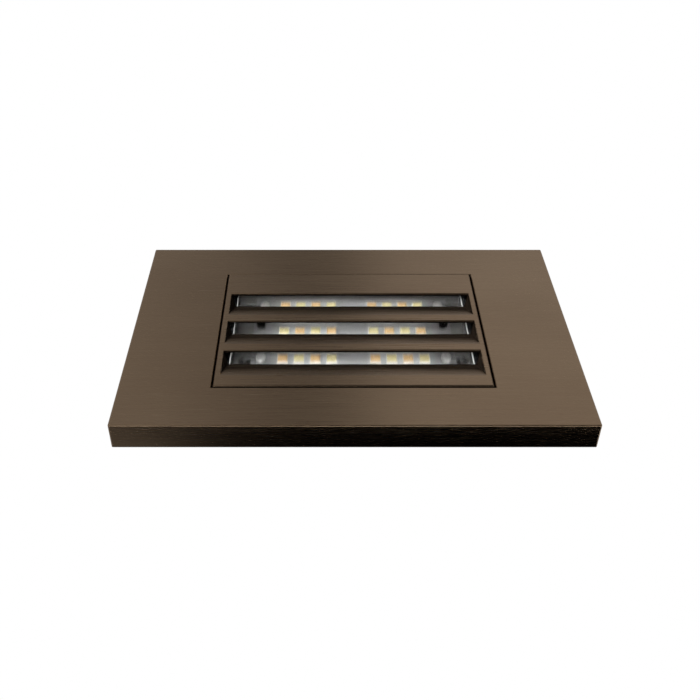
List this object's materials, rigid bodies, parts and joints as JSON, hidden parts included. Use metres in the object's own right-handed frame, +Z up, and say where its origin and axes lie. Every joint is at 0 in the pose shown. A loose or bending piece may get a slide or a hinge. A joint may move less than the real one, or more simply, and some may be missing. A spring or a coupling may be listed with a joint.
{
  "type": "step light",
  "caption": "Recessed louvred wall light for steps: flat bronze plate, raised panel of downward slots over a lensed chip board, shallow housing, wall-box yoke and cable gland.",
  "frame": {"origin": "centre of the face plate's back, on the wall's surface", "axes": "+Z up the wall, +Y into the wall, -Y out of the light's face, +X to the right of someone who looks at the light"},
  "size_m": [0.1142, 0.0358, 0.0762],
  "materials": {
    "bronze_plate": "dark antique bronze, finely brushed along the plate",
    "bronze_panel": "dark antique bronze, brushed, with rubbed edges",
    "magnet": "nickel plated",
    "screw_steel": "stainless",
    "screw_black": "blackened steel",
    "lens": "clear pane with a light frost on its back",
    "seal_rubber": "black silicone",
    "board_white": "white solder mask on aluminium",
    "led_warm": "orange phosphor in a white package",
    "led_cool": "yellow phosphor in a white package",
    "solder": "bright solder",
    "lead_insulation": "white insulation",
    "thermal_pad": "grey silicone pad",
    "housing_metal": "cast aluminium with a dark bronze powder coat",
    "yoke_steel": "zinc plated steel",
    "foam": "closed-cell foam",
    "driver_board": "green solder mask",
    "ferrite": "ferrite with a copper winding",
    "capacitor_can": "sleeved aluminium can",
    "chip_black": "moulded black package",
    "terminal_green": "moulded green housing",
    "switch_case": "moulded black case",
    "selector_knob": "white moulded slider",
    "gland_plastic": "black nylon"
  },
  "bodies": {
    "face_plate": {"face_plate": "bronze_plate", "plate_magnets": "magnet"},
    "fixture": {"louver_panel": "bronze_panel", "panel_screws": "screw_steel", "lens": "lens", "lens_gasket": "seal_rubber", "led_board": "board_white", "warm_leds": "led_warm", "cool_leds": "led_cool", "board_screws": "screw_black", "board_terminals": "solder", "board_leads": "lead_insulation", "lead_grommets": "seal_rubber", "thermal_pad": "thermal_pad", "housing": "housing_metal", "mounting_yoke": "yoke_steel", "wall_gasket": "foam", "driver_board": "driver_board", "driver_screws": "screw_steel", "driver_inductor": "ferrite", "driver_capacitors": "capacitor_can", "driver_chips": "chip_black", "supply_terminal": "terminal_green", "selector_switch": "switch_case", "cover_gasket": "seal_rubber", "rear_cover": "housing_metal", "cover_screws": "screw_steel", "gland_body": "gland_plastic", "gland_locknut": "gland_plastic", "gland_seal": "seal_rubber", "gland_nut": "gland_plastic"},
    "selector": {"selector_knob": "selector_knob"}
  },
  "joints": [
    {"name": "plate_pull_off", "type": "slide", "parent": "fixture", "child": "face_plate", "axis": [0, -1, 0], "range_m": [0, 0.03]},
    {"name": "colour_select", "type": "slide", "parent": "fixture", "child": "selector", "axis": [1, 0, 0], "range_m": [-0.003, 0.003]}
  ]
}
